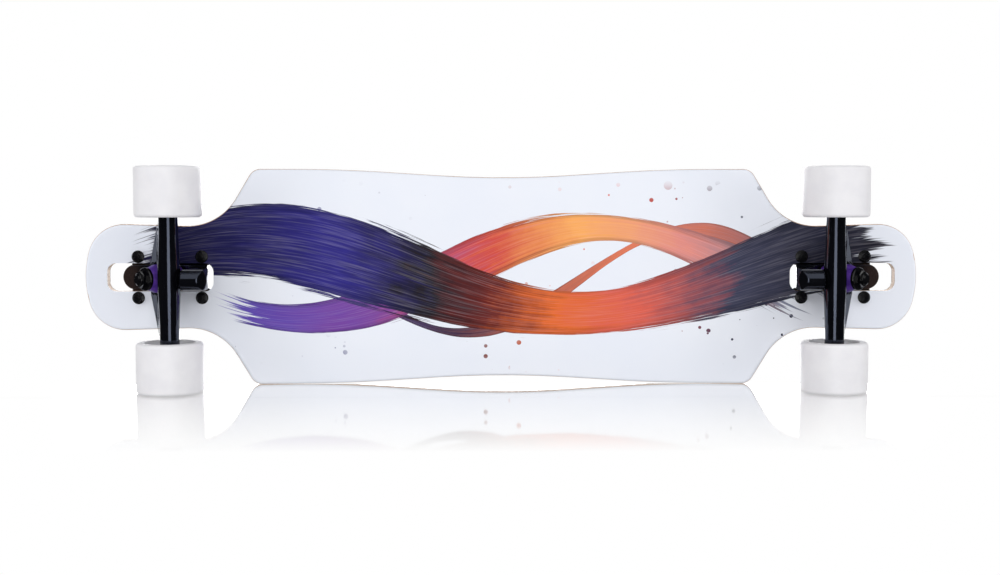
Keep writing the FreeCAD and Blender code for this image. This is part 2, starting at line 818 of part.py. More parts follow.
def make_speed_rings():
    """The thin rings either side of each wheel's pair of bearings."""
    rings = []
    inner = hanger_half
    outer = wheel_offset + spacer_length / 2 + bearing_width
    for direction in axle_sides():
        for offset in (inner, outer):
            rings.append(tube(on_axle(direction, offset), direction, speed_ring_thickness,
                              speed_ring_diameter, bearing_bore + 2 * running_clearance))
    return Part.makeCompound(rings)


def make_spacers():
    """The sleeve between the two inner races of each wheel."""
    sleeves = []
    for direction in axle_sides():
        sleeves.append(tube(on_axle(direction, wheel_offset - spacer_length / 2), direction, spacer_length,
                            spacer_diameter, bearing_bore + 2 * running_clearance))
    return Part.makeCompound(sleeves)


def ball_groove(centre):
    """The torus that a bearing's balls run in."""
    return Part.makeTorus(ball_circle_radius, ball_radius + running_clearance, centre, y_direction)


def make_inner_races():
    """The inner races of a truck's four bearings."""
    races = []
    for direction in axle_sides():
        for step in (-1, 1):
            centre = on_axle(direction, wheel_offset + step * bearing_offset)
            race = tube(centre - y_direction * (bearing_width / 2), y_direction, bearing_width,
                        inner_race_diameter, bearing_bore + 2 * thread_clearance)
            races.append(race.cut(ball_groove(centre)))
    return Part.makeCompound(races)


# Wheels, built about the Y axis at the origin

def make_wheel_tyre():
    """The cast urethane tyre: plain tread, small corners, deep recess on both faces."""
    half = wheel_width / 2
    radius = wheel_diameter / 2
    lip = wheel_lip_diameter / 2
    hub = core_diameter / 2
    hub_half = core_half_width()
    rim_half = core_rim_width / 2
    groove = hub - core_tread_groove
    corner = wheel_corner_radius
    bend = corner * (1 - math.sqrt(0.5))
    points = [Vector(lip, half, 0), Vector(radius - corner, half, 0),
              Vector(radius - bend, half - bend, 0), Vector(radius, half - corner, 0)]
    edges = [Part.LineSegment(points[0], points[1]).toShape(),
             Part.Arc(points[1], points[2], points[3]).toShape()]
    low = [Vector(point.x, -point.y, 0) for point in points]
    edges.append(Part.LineSegment(points[3], low[3]).toShape())
    edges.append(Part.Arc(low[3], low[2], low[1]).toShape())
    edges.append(Part.LineSegment(low[1], low[0]).toShape())
    inside = [low[0], Vector(lip, wheel_lip_depth - half, 0), Vector(hub, -hub_half, 0),
              Vector(hub, -rim_half, 0), Vector(groove, -rim_half, 0), Vector(groove, rim_half, 0),
              Vector(hub, rim_half, 0), Vector(hub, hub_half, 0), Vector(lip, half - wheel_lip_depth, 0),
              points[0]]
    for start, end in zip(inside, inside[1:]):
        edges.append(Part.LineSegment(start, end).toShape())
    return Part.Face(Part.Wire(edges)).revolve(origin, y_direction, 360)


def core_half_width():
    """Half the width of a wheel's core, just past its bearings."""
    return spacer_length / 2 + bearing_width + core_overhang


def make_wheel_core():
    """The stiff core inside the tyre: a seat for each bearing and a grooved rim that grips the urethane."""
    hub = core_diameter / 2
    half = core_half_width()
    rim_half = core_rim_width / 2
    groove = hub - core_tread_groove
    seat = bearing_diameter / 2 + thread_clearance
    bore = core_bore_diameter / 2
    wall = spacer_length / 2
    profile = [(-half, seat), (-half, hub), (-rim_half, hub), (-rim_half, groove), (rim_half, groove),
               (rim_half, hub), (half, hub), (half, seat), (wall, seat), (wall, bore), (-wall, bore),
               (-wall, seat)]
    return turned(profile, origin, y_direction)


def bearing_pair(maker):
    """A bearing piece at both seats of a wheel, as separate solids."""
    solids = []
    for step in (-1, 1):
        for piece in maker():
            piece.translate(y_direction * (step * bearing_offset))
            solids.append(piece)
    return Part.makeCompound(solids)


def outer_race():
    """One bearing's outer race."""
    race = tube(y_direction * (-bearing_width / 2), y_direction, bearing_width, bearing_diameter,
                outer_race_bore)
    return [race.cut(ball_groove(origin))]


def ball_centres():
    """The places of one bearing's balls."""
    centres = []
    for step in range(ball_count):
        turn = FreeCAD.Rotation(y_direction, 360 / ball_count * step)
        centres.append(turn.multVec(x_direction * ball_circle_radius))
    return centres


def balls():
    """One bearing's balls."""
    return [Part.makeSphere(ball_radius, centre) for centre in ball_centres()]


def cage():
    """One bearing's crown cage, with a pocket for each ball."""
    middle = 2 * ball_circle_radius
    start = -cage_back * cage_front_share
    ring = tube(y_direction * start, y_direction, cage_back - start, middle + cage_width, middle - cage_width)
    for centre in ball_centres():
        pocket = Part.makeCylinder(ball_radius + running_clearance, middle, origin, centre)
        ring = ring.cut(pocket)
    return [ring]


def shields():
    """One bearing's two shields, held in the outer race."""
    plates = []
    start = bearing_width / 2 - shield_recess - shield_thickness
    for direction in axle_sides():
        plates.append(tube(direction * start, direction, shield_thickness, outer_race_bore,
                           inner_race_diameter + 2 * loose_clearance))
    return plates


# Export

def export(name, shape):
    """Writes one node."""
    shape.exportStep(os.path.join("parts", name + ".step"))


truck_makers = {
    "baseplate": make_baseplate,
    "pivot_cup": make_pivot_cup,
    "kingpin": make_kingpin,
    "kingpin_nut": make_kingpin_nut,
    "boardside_washer": make_boardside_washer,
    "roadside_washer": make_roadside_washer,
    "boardside_bushing": make_boardside_bushing,
    "roadside_bushing": make_roadside_bushing,
    "mounting_bolts": make_mounting_bolts,
    "mounting_nuts": make_mounting_nuts,
    "mounting_washers": make_mounting_washers,
    "hanger": make_hanger,
    "axle": make_axle,
    "axle_nuts": make_axle_nuts,
    "speed_rings": make_speed_rings,
    "bearing_inner_races": make_inner_races,
    "bearing_spacers": make_spacers,
}

wheel_shapes = {
    "wheel_tyre": make_wheel_tyre(),
    "wheel_core": make_wheel_core(),
    "bearing_outer_races": bearing_pair(outer_race),
    "bearing_balls": bearing_pair(balls),
    "bearing_cages": bearing_pair(cage),
    "bearing_shields": bearing_pair(shields),
}

os.makedirs("parts", exist_ok=True)
export("deck", make_deck())
export("grip_tape", make_grip_tape())

for piece_name, maker in truck_makers.items():
    truck_shape = maker()
    for end_name, end in (("front", 1), ("rear", -1)):
        export(end_name + "_" + piece_name, place(truck_shape, end))

for piece_name, wheel_shape in wheel_shapes.items():
    for end_name, end in (("front", 1), ("rear", -1)):
        for side_name, side in (("left", 1), ("right", -1)):
            moved = wheel_shape.copy()
            moved.translate(Vector(end * axle_x, side * wheel_offset, axle_height))
            export(end_name + "_" + side_name + "_" + piece_name, moved)
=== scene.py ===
"""Drop-through longboard: finishes, soft shapes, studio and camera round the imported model.

The board rides on Z = 0 with its nose towards +X. The camera stands below it and looks up at the
printed underside, so a photo floor stands beside the board's left edge, nearly at right angles to
the riding floor. Lengths are metres.
"""

import json
import logging
import math
from collections.abc import Callable
from dataclasses import dataclass
from enum import Enum

import bmesh
import bpy
from mathutils import Matrix, Vector


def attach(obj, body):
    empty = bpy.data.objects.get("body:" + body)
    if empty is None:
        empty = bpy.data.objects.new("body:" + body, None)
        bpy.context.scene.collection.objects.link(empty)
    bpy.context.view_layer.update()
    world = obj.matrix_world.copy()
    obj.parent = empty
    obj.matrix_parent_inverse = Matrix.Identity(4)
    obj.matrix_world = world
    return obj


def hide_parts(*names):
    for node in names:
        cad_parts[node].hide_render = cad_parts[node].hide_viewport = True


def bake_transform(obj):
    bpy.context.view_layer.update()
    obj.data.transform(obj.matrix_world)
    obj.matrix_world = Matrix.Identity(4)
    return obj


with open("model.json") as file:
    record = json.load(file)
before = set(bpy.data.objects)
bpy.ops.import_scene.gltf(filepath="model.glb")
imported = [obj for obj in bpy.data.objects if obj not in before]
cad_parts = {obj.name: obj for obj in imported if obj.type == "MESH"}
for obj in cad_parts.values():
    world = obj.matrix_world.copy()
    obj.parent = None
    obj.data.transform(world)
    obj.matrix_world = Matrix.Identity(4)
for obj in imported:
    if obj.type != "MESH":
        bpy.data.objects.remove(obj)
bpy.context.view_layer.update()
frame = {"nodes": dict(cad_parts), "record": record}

LOG = logging.getLogger("longboard")
NEAR = 1e-5
AXLE_X = 0.3243

Socket = bpy.types.NodeSocket
Number = float | Socket
Colour = tuple[float, float, float, float]
Tint = Colour | Socket
Triple = tuple[float, float, float]
Band = tuple[float, float]
Ring = tuple[float, float]
Relief = tuple[float, float]
Stops = tuple[tuple[float, Colour], ...]

RISE: Band = (0.0, 1.0)
FALL: Band = (1.0, 0.0)
NOISE_MIDDLE = 0.5
WHITE: Colour = (1.0, 1.0, 1.0, 1.0)


def srgb(red: int, green: int, blue: int) -> Colour:
    """Turn a screen colour into the linear colour that a shader takes.

    Args:
        red: Red from 0 to 255.
        green: Green from 0 to 255.
        blue: Blue from 0 to 255.

    Returns:
        The linear colour with full opacity.
    """
    def linear(level: int) -> float:
        """Undo the screen curve for one channel."""
        share = level / 255
        return share / 12.92 if share <= 0.04045 else ((share + 0.055) / 1.055) ** 2.4

    return linear(red), linear(green), linear(blue), 1.0


class End(Enum):
    """The two ends of the board."""

    FRONT = "front"
    REAR = "rear"

    @property
    def turn(self) -> Matrix:
        """The turn that takes a piece made for the front end to this end."""
        return Matrix.Rotation(0 if self is End.FRONT else math.pi, 4, "Z")


class Side(Enum):
    """The rider's two sides."""

    LEFT = 1
    RIGHT = -1


@dataclass(frozen=True)
class Grain:
    """A noise pattern: waves per metre, or along each axis, finer octaves and their strength."""

    scale: float | Triple
    detail: float = 2.0
    rough: float = 0.5


class Graph:
    """A node tree, wired with short calls."""

    def __init__(self, tree: bpy.types.NodeTree) -> None:
        """Keep the tree."""
        self.tree = tree

    def add(self, kind: str, inputs: dict | None = None, **settings: object) -> bpy.types.Node:
        """Add a node.

        Args:
            kind: The node's type without its ShaderNode prefix.
            inputs: Values or sockets for its inputs.
            settings: Properties of the node itself.

        Returns:
            The new node.
        """
        node = self.tree.nodes.new("ShaderNode" + kind)
        for key, value in settings.items():
            setattr(node, key, value)
        for key, value in (inputs or {}).items():
            self.join(value, node.inputs[key])
        return node

    def join(self, value: object, socket: Socket) -> None:
        """Link a socket, or set a plain value on it."""
        if isinstance(value, bpy.types.NodeSocket):
            self.tree.links.new(value, socket)
        else:
            socket.default_value = value

    def math(self, operation: str, *values: Number, clamp: bool = False) -> Socket:
        """Work out one number.

        Args:
            operation: The operation's name.
            values: Its operands.
            clamp: Whether the result is kept from 0 to 1.

        Returns:
            The result.
        """
        node = self.add("Math", operation=operation, use_clamp=clamp)
        for value, socket in zip(values, node.inputs):
            self.join(value, socket)
        return node.outputs[0]

    def times(self, *values: Number) -> Socket:
        """The product of two or more numbers."""
        product = values[0]
        for value in values[1:]:
            product = self.math("MULTIPLY", product, value)
        return product

    def either(self, share: Number, first: Socket, second: Socket) -> Socket:
        """Mix two shaders by a share."""
        return self.add("MixShader", {0: share, 1: first, 2: second}).outputs[0]


class ShaderGraph(Graph):
    """A material's nodes, with patterns read at a place on the object."""

    def __init__(self, name: str) -> None:
        """Start a material with a principled surface.

        Args:
            name: The material's name.
        """
        self.material = bpy.data.materials.new(name)
        self.material.use_nodes = True
        super().__init__(self.material.node_tree)
        self.surface = self.tree.nodes["Principled BSDF"]
        self.output = self.tree.nodes["Material Output"]
        self.place = self.add("TexCoord").outputs["Object"]

    def set(self, **values: object) -> None:
        """Set or link inputs of the principled surface, with _ for the spaces in their names."""
        for key, value in values.items():
            self.join(value, self.surface.inputs[key.replace("_", " ")])

    def swayed(self, value: Number, noise: Socket, amount: float, clamp: bool = False) -> Socket:
        """A number moved up and down by a noise, by half the amount each way."""
        sway = self.math("SUBTRACT", noise, NOISE_MIDDLE)
        return self.math("MULTIPLY_ADD", sway, amount, value, clamp=clamp)

    def axes(self) -> tuple[Socket, Socket, Socket]:
        """The place on the object as x, y and z."""
        node = self.add("SeparateXYZ", {0: self.place})
        return node.outputs[0], node.outputs[1], node.outputs[2]

    def point(self, x: Number, y: Number, z: Number = 0.0) -> Socket:
        """A point from its three numbers."""
        return self.add("CombineXYZ", {0: x, 1: y, 2: z}).outputs[0]

    def noise(self, grain: Grain, vector: Socket | None = None) -> Socket:
        """Soft noise from 0 to 1.

        Args:
            grain: The pattern.
            vector: Where it is read, or None for the place on the object.

        Returns:
            The noise.
        """
        vector, scale = vector or self.place, grain.scale
        if isinstance(scale, tuple):
            stretch = self.add("VectorMath", {0: vector, 1: scale}, operation="MULTIPLY")
            vector, scale = stretch.outputs[0], 1.0
        inputs = {"Vector": vector, "Scale": scale, "Detail": grain.detail,
                  "Roughness": grain.rough}
        return self.add("TexNoise", inputs).outputs["Fac"]

    def cells(self, scale: float, vector: Socket | None = None) -> bpy.types.Node:
        """A cell pattern, with its distance and colour outputs."""
        return self.add("TexVoronoi", {"Vector": vector or self.place, "Scale": scale})

    def step(self, value: Number, band: Band, results: Band = RISE) -> Socket:
        """A smooth step.

        Args:
            value: What is tested.
            band: Where the step starts and ends.
            results: The numbers before and after it.

        Returns:
            The stepped number.
        """
        inputs = {"Value": value, "From Min": band[0], "From Max": band[1],
                  "To Min": results[0], "To Max": results[1]}
        return self.add("MapRange", inputs, interpolation_type="SMOOTHSTEP").outputs[0]

    def ramp(self, value: Number, stops: Stops) -> Socket:
        """A colour from stops along a number."""
        node = self.add("ValToRGB", {0: value})
        elements = node.color_ramp.elements
        while len(elements) < len(stops):
            elements.new(1.0)
        for element, (place, colour) in zip(elements, stops):
            element.position = place
            element.color = colour
        return node.outputs[0]

    def mix(self, share: Number, first: Tint, second: Tint, blend: str = "MIX") -> Socket:
        """Mix two colours by a share."""
        node = self.add("Mix", {0: share, 6: first, 7: second}, data_type="RGBA", blend_type=blend)
        return node.outputs[2]

    def bump(self, height: Socket, relief: Relief) -> None:
        """Raise the surface by a height pattern, with a strength and a depth."""
        inputs = {"Height": height, "Strength": relief[0], "Distance": relief[1]}
        self.set(Normal=self.add("Bump", inputs).outputs[0])

    def show(self, shader: Socket) -> None:
        """Let a shader take the principled surface's place."""
        self.join(shader, self.output.inputs["Surface"])
        self.tree.nodes.remove(self.surface)


@dataclass(frozen=True)
class Brush:
    """How a brush lays its paint: streaks, hairs, ragged edges and dry ends."""

    streak_run: float = 7.0
    streak: Grain = Grain(1.0, 4.0, 0.62)
    hair_run: float = 16.0
    hairs_per_bristle: float = 4.0
    hair_shift: float = 3.0
    hair: Grain = Grain(1.0, 3.0, 0.6)
    wash: Grain = Grain(34.0, 4.0, 0.6)
    ragged_by_streak: float = 0.75
    ragged_by_hair: float = 0.3
    edge: Band = (0.08, 0.13)
    dry_by_streak: float = 0.14
    dry_by_hair: float = 0.06
    dry_edge: Band = (0.0, 0.012)
    tone_by_streak: float = 0.16
    tone_by_wash: float = 0.1
    lit_hairs: Band = (0.42, 0.75)
    lit_share: Band = (0.0, 0.1)
    lit: Colour = srgb(236, 228, 240)
    rim: Band = (0.4, 0.1)
    rim_share: Band = (0.0, 0.4)
    rim_tint: Colour = srgb(30, 24, 44)


@dataclass(frozen=True)
class Ribbon:
    """One painted brush ribbon that winds along the deck."""

    offset: float
    swing: float
    wave: float
    phase: float
    half_width: float
    width_swing: float
    width_wave: float
    start: float
    end: float
    seed: float
    bristles: float
    stops: Stops
    brush: Brush = Brush()

    def centre(self, graph: ShaderGraph, x: Socket) -> Socket:
        """The ribbon's middle line at a place along the deck."""
        turn = graph.math("MULTIPLY_ADD", x, math.tau / self.wave, self.phase)
        return graph.math("MULTIPLY_ADD", graph.math("SINE", turn), self.swing, self.offset)

    def half(self, graph: ShaderGraph, x: Socket) -> Socket:
        """Half the ribbon's width at a place along the deck."""
        turn = graph.math("MULTIPLY_ADD", x, math.tau / self.width_wave, self.phase + self.seed)
        return graph.math("MULTIPLY_ADD", graph.math("SINE", turn), self.width_swing,
                          self.half_width)

    def paint(self, graph: ShaderGraph, x: Socket, y: Socket, ground: Socket) -> Socket:
        """Lay the ribbon over a ground colour.

        Args:
            graph: The material.
            x: The place along the deck.
            y: The place across it.
            ground: The colour below.

        Returns:
            The colour with the ribbon on it.
        """
        brush = self.brush
        off = graph.math("SUBTRACT", y, self.centre(graph, x))
        across = graph.math("DIVIDE", off, self.half(graph, x))
        fine = brush.hairs_per_bristle * self.bristles
        streaks = graph.point(graph.times(x, brush.streak_run),
                              graph.times(across, self.bristles), self.seed)
        hairs = graph.point(graph.times(x, brush.hair_run),
                            graph.times(across, fine), self.seed + brush.hair_shift)
        streak = graph.noise(brush.streak, streaks)
        hair = graph.noise(brush.hair, hairs)
        ragged = graph.math("SUBTRACT", 1.0, graph.math("ABSOLUTE", across))
        ragged = graph.swayed(ragged, streak, brush.ragged_by_streak)
        ragged = graph.swayed(ragged, hair, brush.ragged_by_hair)
        from_start = graph.math("SUBTRACT", x, self.start)
        reach = graph.math("MINIMUM", from_start, graph.math("SUBTRACT", self.end, x))
        reach = graph.swayed(reach, streak, brush.dry_by_streak)
        reach = graph.swayed(reach, hair, brush.dry_by_hair)
        mask = graph.times(graph.step(ragged, brush.edge), graph.step(reach, brush.dry_edge))
        share = graph.math("DIVIDE", from_start, self.end - self.start)
        share = graph.swayed(share, streak, brush.tone_by_streak)
        share = graph.swayed(share, graph.noise(brush.wash), brush.tone_by_wash, clamp=True)
        colour = graph.ramp(share, self.stops)
        light = graph.step(hair, brush.lit_hairs, brush.lit_share)
        colour = graph.mix(light, colour, brush.lit, "SCREEN")
        shade = graph.step(ragged, brush.rim, brush.rim_share)
        colour = graph.mix(shade, colour, brush.rim_tint, "MULTIPLY")
        return graph.mix(mask, ground, colour)


THIN_RIBBON = Ribbon(
    offset=0.004, swing=0.052, wave=0.46, phase=2.1, half_width=0.0065, width_swing=0.0030,
    width_wave=0.21, start=-0.30, end=0.33, seed=5.0, bristles=2.5,
    stops=((0.0, srgb(70, 84, 170)), (0.4, srgb(60, 34, 60)), (0.7, srgb(226, 120, 84)),
           (1.0, srgb(86, 92, 116))))
WARM_RIBBON = Ribbon(
    offset=-0.004, swing=-0.046, wave=0.60, phase=0.55, half_width=0.021, width_swing=0.007,
    width_wave=0.37, start=-0.27, end=0.29, seed=2.0, bristles=5.0,
    stops=((0.0, srgb(86, 70, 176)), (0.26, srgb(120, 64, 150)), (0.46, srgb(206, 74, 58)),
           (0.62, srgb(244, 168, 92)), (0.8, srgb(222, 138, 128)), (1.0, srgb(122, 128, 150))))
WIDE_RIBBON = Ribbon(
    offset=0.0, swing=0.036, wave=0.66, phase=0.9, half_width=0.036, width_swing=0.011,
    width_wave=0.52, start=-0.355, end=0.375, seed=9.0, bristles=7.0,
    stops=((0.0, srgb(18, 18, 50)), (0.12, srgb(24, 22, 82)), (0.26, srgb(44, 38, 128)),
           (0.38, srgb(18, 14, 28)), (0.47, srgb(104, 26, 18)), (0.56, srgb(222, 102, 36)),
           (0.66, srgb(216, 92, 74)), (0.80, srgb(62, 64, 88)), (1.0, srgb(28, 28, 40))))


@dataclass(frozen=True)
class Splatter:
    """Drops of paint round the ribbons."""

    cells: float
    largest: float
    fall: float = 5.0
    edge: Band = (0.0, 0.02)
    zone: Grain = Grain(9.0, 1.0)
    zone_edge: Band = (0.47, 0.6)
    ends: Band = (0.30, 0.36)
    sides: Band = (0.075, 0.1)
    tone_run: float = 1.35
    tone_middle: float = 0.5
    tones: Stops = WIDE_RIBBON.stops

    def paint(self, graph: ShaderGraph, x: Socket, y: Socket, ground: Socket) -> Socket:
        """Lay the drops over a ground colour.

        Args:
            graph: The material.
            x: The place along the deck.
            y: The place across it.
            ground: The colour below.

        Returns:
            The colour with the drops on it.
        """
        spot = graph.cells(self.cells, graph.point(x, y))
        pick = graph.add("SeparateColor", {0: spot.outputs["Color"]})
        radius = graph.times(graph.math("POWER", pick.outputs[0], self.fall), self.largest)
        drop = graph.step(graph.math("SUBTRACT", radius, spot.outputs["Distance"]), self.edge)
        zone = graph.step(graph.noise(self.zone), self.zone_edge)
        ends = graph.step(graph.math("ABSOLUTE", x), self.ends, FALL)
        sides = graph.step(graph.math("ABSOLUTE", y), self.sides, FALL)
        along = graph.math("MULTIPLY_ADD", x, self.tone_run, self.tone_middle, clamp=True)
        return graph.mix(graph.times(drop, zone, ends, sides), ground,
                         graph.ramp(along, self.tones))


@dataclass(frozen=True)
class PrintedPly:
    """The deck: satin print on the underside, clear maple plies on the edge and on top."""

    bottom: float = 0.0775
    thickness: float = 0.012
    flat_half: float = 0.040
    rail_width: float = 0.0684
    rail_rise: float = 0.006
    rail_end: float = 0.284
    rail_run: float = 0.094
    rail_power: float = 2.0
    print_edge: Band = (0.001, 0.0014)
    plies: int = 9
    ply_grain: Grain = Grain((14.0, 620.0, 900.0), 5.0, 0.62)
    ply_pores: Grain = Grain(1900.0)
    long_ply: Stops = ((0.3, srgb(196, 160, 126)), (0.55, srgb(222, 192, 160)),
                       (0.8, srgb(232, 208, 180)))
    cross_ply: Stops = ((0.3, srgb(166, 126, 100)), (0.7, srgb(202, 164, 134)))
    glue: Colour = srgb(120, 84, 66)
    glue_edge: Band = (0.43, 0.5)
    glue_share: Band = (0.0, 0.55)
    cloud: Grain = Grain(11.0, 3.0, 0.55)
    ground: Stops = ((0.25, srgb(228, 232, 242)), (0.7, srgb(232, 235, 243)))
    paint: tuple[Splatter | Ribbon, ...] = (Splatter(42.0, 0.2), Splatter(120.0, 0.34),
                                            THIN_RIBBON, WARM_RIBBON, WIDE_RIBBON)
    satin: Grain = Grain(260.0, 3.0, 0.6)
    satin_band: Band = (0.2, 0.8)
    roughness: Band = (0.34, 0.46)
    specular: float = 0.1
    coat: float = 0.03
    coat_roughness: float = 0.22
    brushed: Grain = Grain((30.0, 900.0, 900.0), 3.0, 0.6)
    relief: Relief = (0.06, 0.0004)

    def depth(self, graph: ShaderGraph, x: Socket, y: Socket, z: Socket) -> Socket:
        """How far a point lies above the underside, which rises towards the rails."""
        fade = graph.math("SUBTRACT", self.rail_end, graph.math("ABSOLUTE", x))
        fade = graph.step(fade, (0.0, self.rail_run))
        out = graph.math("SUBTRACT", graph.math("ABSOLUTE", y), self.flat_half)
        out = graph.math("DIVIDE", graph.math("MAXIMUM", out, 0.0), self.rail_width)
        rise = graph.times(graph.math("POWER", out, self.rail_power), self.rail_rise, fade)
        return graph.math("SUBTRACT", graph.math("SUBTRACT", z, self.bottom), rise)

    def ply(self, graph: ShaderGraph, depth: Socket) -> Socket:
        """The colour of the plies: turned layers, thin glue lines and grain."""
        layer = graph.math("DIVIDE", depth, self.thickness / self.plies)
        turn = graph.math("MODULO", graph.math("FLOOR", layer), 2.0)
        along = graph.ramp(graph.noise(self.ply_grain), self.long_ply)
        cross = graph.ramp(graph.noise(self.ply_pores), self.cross_ply)
        within = graph.math("SUBTRACT", graph.math("FRACT", layer), 0.5)
        glue = graph.step(graph.math("ABSOLUTE", within), self.glue_edge, self.glue_share)
        return graph.mix(glue, graph.mix(turn, along, cross), self.glue)

    def make(self) -> bpy.types.Material:
        """Build the deck's material."""
        graph = ShaderGraph("deck_print_and_ply")
        x, y, z = graph.axes()
        depth = self.depth(graph, x, y, z)
        colour = graph.ramp(graph.noise(self.cloud), self.ground)
        for layer in self.paint:
            colour = layer.paint(graph, x, y, colour)
        wood = graph.step(depth, self.print_edge)
        graph.set(Base_Color=graph.mix(wood, colour, self.ply(graph, depth)),
                  Roughness=graph.step(graph.noise(self.satin), self.satin_band, self.roughness),
                  Specular_IOR_Level=self.specular, Coat_Weight=self.coat,
                  Coat_Roughness=self.coat_roughness)
        graph.bump(graph.noise(self.brushed), self.relief)
        return graph.material


@dataclass(frozen=True)
class GripGrit:
    """Coarse black grit sheet, with painted glints: a few random grains get a lighter colour."""

    dark: Colour = srgb(26, 26, 28)
    worn: Colour = srgb(54, 53, 54)
    # Painted glint colour, given to the few lighter grains.
    painted_glint: Colour = srgb(120, 120, 126)
    grains: float = 1500.0
    tread: Grain = Grain(7.0, 4.0, 0.6)
    tread_band: Band = (0.45, 0.75)
    worn_share: Band = (0.0, 0.55)
    painted_glint_band: Band = (0.965, 0.985)
    roughness: Band = (0.62, 0.95)
    specular: float = 0.35
    heap: Grain = Grain(2600.0)
    heap_share: float = 0.6
    relief: Relief = (0.9, 0.0006)

    def make(self) -> bpy.types.Material:
        """Build the grit's material."""
        graph = ShaderGraph("grip_grit")
        grain = graph.cells(self.grains)
        pick = graph.add("SeparateColor", {0: grain.outputs["Color"]})
        worn = graph.step(graph.noise(self.tread), self.tread_band, self.worn_share)
        colour = graph.mix(worn, self.dark, self.worn)
        # Painted glints: a few random grains are coloured light grey in place of the grit's
        # sparkle.
        colour = graph.mix(graph.step(pick.outputs[0], self.painted_glint_band), colour, self.painted_glint)
        graph.set(Base_Color=colour, Specular_IOR_Level=self.specular,
                  Roughness=graph.step(pick.outputs[1], RISE, self.roughness))
        heap = graph.math("MULTIPLY_ADD", graph.noise(self.heap), self.heap_share,
                          pick.outputs[2])
        graph.bump(heap, self.relief)
        return graph.material


@dataclass(frozen=True)
class CastBlack:
    """Gloss black powder coat on a casting, browned on the bosses outside the trucks."""

    coat: Colour = srgb(6, 6, 9)
    dust: Colour = srgb(18, 18, 22)
    glint: Colour = srgb(212, 224, 255)
    brown: Colour = srgb(46, 36, 33)
    cloud: Grain = Grain(55.0, 5.0, 0.6)
    cloud_band: Band = (0.5, 0.85)
    cloud_share: Band = (0.0, 0.35)
    speck: Grain = Grain(1500.0)
    speck_band: Band = (0.68, 0.74)
    speck_share: Band = (0.0, 0.5)
    boss_reach: Band = (0.358, 0.374)
    boss_height: Band = (0.074, 0.08)
    gloss_band: Band = (0.2, 0.8)
    roughness: Band = (0.06, 0.13)
    specular: float = 1.0
    skin: Grain = Grain(110.0, 2.0, 0.3)
    relief: Relief = (0.1, 0.0006)

    def make(self) -> bpy.types.Material:
        """Build the coat's material."""
        graph = ShaderGraph("cast_black")
        x, _, z = graph.axes()
        cloud = graph.noise(self.cloud)
        dusty = graph.step(cloud, self.cloud_band, self.cloud_share)
        specks = graph.step(graph.noise(self.speck), self.speck_band, self.speck_share)
        boss = graph.times(graph.step(graph.math("ABSOLUTE", x), self.boss_reach),
                           graph.step(z, self.boss_height))
        colour = graph.mix(dusty, self.coat, self.dust)
        colour = graph.mix(specks, colour, self.dust)
        graph.set(Base_Color=graph.mix(boss, colour, self.brown),
                  Roughness=graph.step(cloud, self.gloss_band, self.roughness),
                  Specular_IOR_Level=self.specular, Specular_Tint=self.glint)
        graph.bump(graph.noise(self.skin), self.relief)
        return graph.material


@dataclass(frozen=True)
class TwoTone:
    """A finish of two clouded tones, with a grain that sets its gloss and its relief."""

    name: str
    base: Colour
    tone: Colour
    cloud: Grain
    cloud_band: Band
    grain: Grain
    grain_band: Band
    roughness: Band
    relief: Relief
    tone_share: Band = RISE
    skin: Grain | None = None
    glow: float = 0.0
    glow_radius: Triple = (1.0, 0.9, 0.85)
    glow_depth: float = 0.002
    metal: float = 0.0
    refraction: float = 1.5
    specular: float = 0.5

    def make(self) -> bpy.types.Material:
        """Build the material."""
        graph = ShaderGraph(self.name)
        share = graph.step(graph.noise(self.cloud), self.cloud_band, self.tone_share)
        grain = graph.noise(self.grain)
        graph.set(Base_Color=graph.mix(share, self.base, self.tone), Metallic=self.metal,
                  Roughness=graph.step(grain, self.grain_band, self.roughness),
                  IOR=self.refraction, Specular_IOR_Level=self.specular)
        if self.glow:
            graph.set(Subsurface_Weight=self.glow, Subsurface_Radius=self.glow_radius,
                      Subsurface_Scale=self.glow_depth)
        graph.bump(graph.noise(self.skin) if self.skin else grain, self.relief)
        return graph.material


@dataclass(frozen=True)
class BlackSteel(TwoTone):
    """Black oxide on screws, nuts and washers."""

    name: str = "black_steel"
    base: Colour = srgb(8, 8, 11)
    tone: Colour = srgb(24, 24, 28)
    cloud: Grain = Grain(190.0, 4.0, 0.6)
    cloud_band: Band = (0.5, 0.8)
    grain: Grain = Grain((420.0, 2600.0, 900.0), 3.0, 0.7)
    grain_band: Band = (0.3, 0.75)
    roughness: Band = (0.07, 0.14)
    relief: Relief = (0.02, 0.0002)
    tone_share: Band = (0.0, 0.5)
    refraction: float = 1.6


@dataclass(frozen=True)
class PurpleUrethane(TwoTone):
    """Cast purple urethane of the bushings."""

    name: str = "purple_urethane"
    base: Colour = srgb(66, 34, 128)
    tone: Colour = srgb(98, 56, 168)
    cloud: Grain = Grain(130.0, 3.0, 0.55)
    cloud_band: Band = (0.3, 0.75)
    grain: Grain = Grain(700.0, 3.0)
    grain_band: Band = (0.2, 0.8)
    roughness: Band = (0.26, 0.42)
    relief: Relief = (0.08, 0.0003)
    skin: Grain | None = Grain(900.0)
    glow: float = 0.2
    glow_radius: Triple = (0.4, 0.2, 1.0)


@dataclass(frozen=True)
class WhiteUrethane(TwoTone):
    """Cast white urethane of the tyres, with a faint satin skin."""

    name: str = "white_urethane"
    base: Colour = srgb(233, 232, 235)
    tone: Colour = srgb(227, 226, 230)
    cloud: Grain = Grain(48.0, 4.0, 0.55)
    cloud_band: Band = (0.3, 0.75)
    grain: Grain = Grain((300.0, 1800.0, 300.0), 3.0, 0.6)
    grain_band: Band = (0.25, 0.75)
    roughness: Band = (0.36, 0.5)
    relief: Relief = (0.07, 0.0003)
    glow: float = 0.08
    specular: float = 0.4


